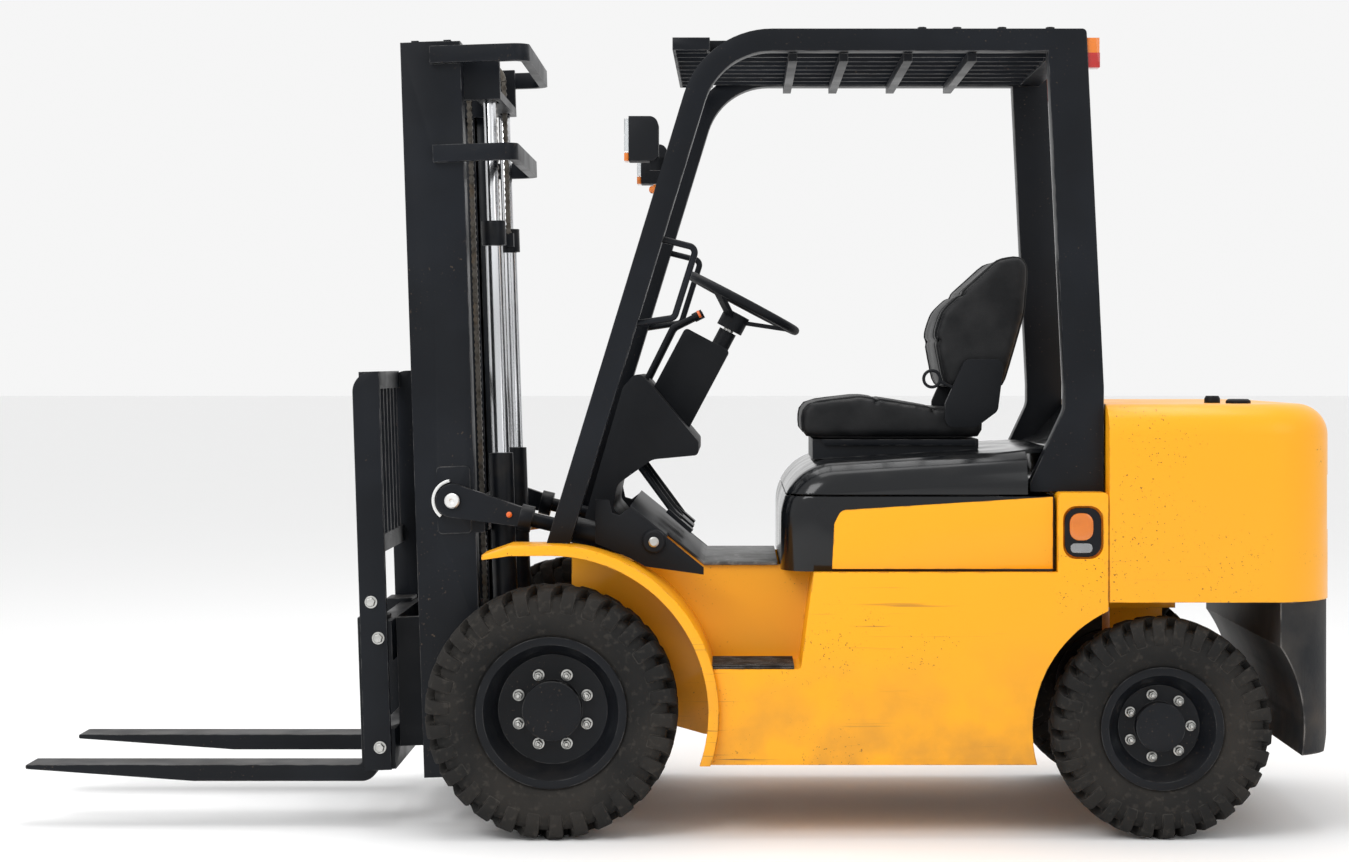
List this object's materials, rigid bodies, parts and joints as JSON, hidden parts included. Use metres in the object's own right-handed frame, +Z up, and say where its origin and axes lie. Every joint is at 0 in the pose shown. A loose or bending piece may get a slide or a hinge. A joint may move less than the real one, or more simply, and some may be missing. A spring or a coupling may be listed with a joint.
{
  "type": "counterbalance forklift truck",
  "caption": "Counterbalance forklift truck with a leaning two-stage mast, level forks, overhead guard, seat on a hinged hood and a rounded rear counterweight.",
  "frame": {"origin": "on the floor under the middle of the truck's overall length and width", "axes": "+X forward along the forks, +Y to the truck's left, +Z up"},
  "size_m": [3.5828, 1.16, 2.182],
  "materials": {
    "yellow_paint": "glossy",
    "black_paint": "satin",
    "black_plastic": "matte",
    "hood_plastic": "glossy",
    "fork_steel": "satin",
    "chrome_rod": "polished",
    "chain_steel": "oiled",
    "tyre": "matte",
    "wheel_paint": "satin",
    "cast_dark": "rough",
    "engine_iron": "rough",
    "seat_vinyl": "matte",
    "tread_steel": "worn",
    "amber_lens": "glossy",
    "clear_lens": "clear"
  },
  "bodies": {
    "chassis": {"body_frame": "yellow_paint", "front_fenders": "yellow_paint", "counterweight": "yellow_paint", "hood_side_panels": "yellow_paint", "floor_plate": "tread_steel", "front_axle": "cast_dark", "steer_axle": "cast_dark", "rear_bumper": "cast_dark", "radiator_grille": "black_paint", "tow_lug": "black_paint", "rear_deck": "hood_plastic", "guard_frame": "black_paint", "guard_roof": "black_paint", "cowl": "black_plastic", "steering_column": "black_plastic", "control_levers": "black_plastic", "pedals": "black_paint", "engine_block": "engine_iron", "hood_surround": "hood_plastic", "grab_bars": "black_paint", "headlamps": "black_plastic", "headlamp_lenses": "clear_lens", "signal_lamps": "amber_lens"},
    "mast_outer": {"mast_outer": "black_paint", "lift_barrels": "chrome_rod"},
    "mast_inner": {"mast_inner": "black_paint", "lift_rods": "chrome_rod", "chain_sheaves": "chain_steel", "chain_anchor_runs": "chain_steel", "chain_lift_runs": "chain_steel"},
    "carriage": {"carriage": "black_paint", "backrest": "black_paint", "fork_left": "fork_steel", "fork_right": "fork_steel"},
    "steering_wheel": {"steering_wheel": "black_plastic"},
    "hood": {"hood": "hood_plastic", "seat_base": "black_paint", "seat_cushion": "seat_vinyl", "seat_back": "seat_vinyl", "seat_covers": "black_plastic"},
    "tilt_barrel_left": {"tilt_barrel_left": "black_paint"},
    "tilt_rod_left": {"tilt_rod_left": "black_paint"},
    "knuckle_left": {"knuckle_left": "cast_dark"},
    "front_wheel_left": {"front_tyre_left": "tyre", "front_wheel_left": "wheel_paint"},
    "rear_wheel_left": {"rear_tyre_left": "tyre", "rear_wheel_left": "wheel_paint"},
    "tilt_barrel_right": {"tilt_barrel_right": "black_paint"},
    "tilt_rod_right": {"tilt_rod_right": "black_paint"},
    "knuckle_right": {"knuckle_right": "cast_dark"},
    "front_wheel_right": {"front_tyre_right": "tyre", "front_wheel_right": "wheel_paint"},
    "rear_wheel_right": {"rear_tyre_right": "tyre", "rear_wheel_right": "wheel_paint"}
  },
  "joints": [
    {"name": "mast_tilt", "type": "hinge", "parent": "chassis", "child": "mast_outer", "pos_m": [0.32864, 0, 0.34], "axis": [0, 1, 0], "range_deg": [-11.88, 4.12]},
    {"name": "mast_lift", "type": "slide", "parent": "mast_outer", "child": "mast_inner", "axis": [0.0328, 0, 0.9995], "range_m": [0, 1.4], "deforming": ["chain_anchor_runs"]},
    {"name": "carriage_lift", "type": "slide", "parent": "mast_inner", "child": "carriage", "axis": [0.0328, 0, 0.9995], "range_m": [0, 1.4], "deforming": ["chain_lift_runs"]},
    {"name": "steering_wheel_turn", "type": "hinge", "parent": "chassis", "child": "steering_wheel", "pos_m": [-0.18736, 0, 1.45], "axis": [-0.4695, 0, 0.8829], "continuous": true},
    {"name": "hood_open", "type": "hinge", "parent": "chassis", "child": "hood", "pos_m": [-1.02336, 0, 1.045], "axis": [0, -1, 0], "range_deg": [0, 60]},
    {"name": "tilt_barrel_left_swing", "type": "hinge", "parent": "chassis", "child": "tilt_barrel_left", "pos_m": [0.06864, 0.38, 0.77], "axis": [0, 1, 0], "range_deg": [-9.1, 3.2]},
    {"name": "tilt_rod_left_slide", "type": "slide", "parent": "tilt_barrel_left", "child": "tilt_rod_left", "axis": [0.9723, 0, 0.2336], "range_m": [-0.102, 0.036]},
    {"name": "front_wheel_left_roll", "type": "hinge", "parent": "chassis", "child": "front_wheel_left", "pos_m": [0.32864, 0.488, 0.34], "axis": [0, 1, 0], "continuous": true},
    {"name": "steer_left", "type": "hinge", "parent": "chassis", "child": "knuckle_left", "pos_m": [-1.31136, 0.348, 0.296], "axis": [0, 0, 1], "range_deg": [-65, 65]},
    {"name": "rear_wheel_left_roll", "type": "hinge", "parent": "knuckle_left", "child": "rear_wheel_left", "pos_m": [-1.31136, 0.49, 0.296], "axis": [0, 1, 0], "continuous": true},
    {"name": "tilt_barrel_right_swing", "type": "hinge", "parent": "chassis", "child": "tilt_barrel_right", "pos_m": [0.06864, -0.38, 0.77], "axis": [0, 1, 0], "range_deg": [-9.1, 3.2]},
    {"name": "tilt_rod_right_slide", "type": "slide", "parent": "tilt_barrel_right", "child": "tilt_rod_right", "axis": [0.9723, 0, 0.2336], "range_m": [-0.102, 0.036]},
    {"name": "front_wheel_right_roll", "type": "hinge", "parent": "chassis", "child": "front_wheel_right", "pos_m": [0.32864, -0.488, 0.34], "axis": [0, 1, 0], "continuous": true},
    {"name": "steer_right", "type": "hinge", "parent": "chassis", "child": "knuckle_right", "pos_m": [-1.31136, -0.348, 0.296], "axis": [0, 0, 1], "range_deg": [-65, 65]},
    {"name": "rear_wheel_right_roll", "type": "hinge", "parent": "knuckle_right", "child": "rear_wheel_right", "pos_m": [-1.31136, -0.49, 0.296], "axis": [0, 1, 0], "continuous": true}
  ],
  "couplings": [
    {"joint": "carriage_lift", "follows": "mast_lift", "ratio": 1},
    {"joint": "tilt_barrel_left_swing", "follows": "mast_tilt", "ratio": 0.762},
    {"joint": "tilt_rod_left_slide", "follows": "mast_tilt", "m_per_rad": 0.485},
    {"joint": "tilt_barrel_right_swing", "follows": "mast_tilt", "ratio": 0.762},
    {"joint": "tilt_rod_right_slide", "follows": "mast_tilt", "m_per_rad": 0.485},
    {"joint": "steer_right", "follows": "steer_left", "ratio": 1}
  ]
}
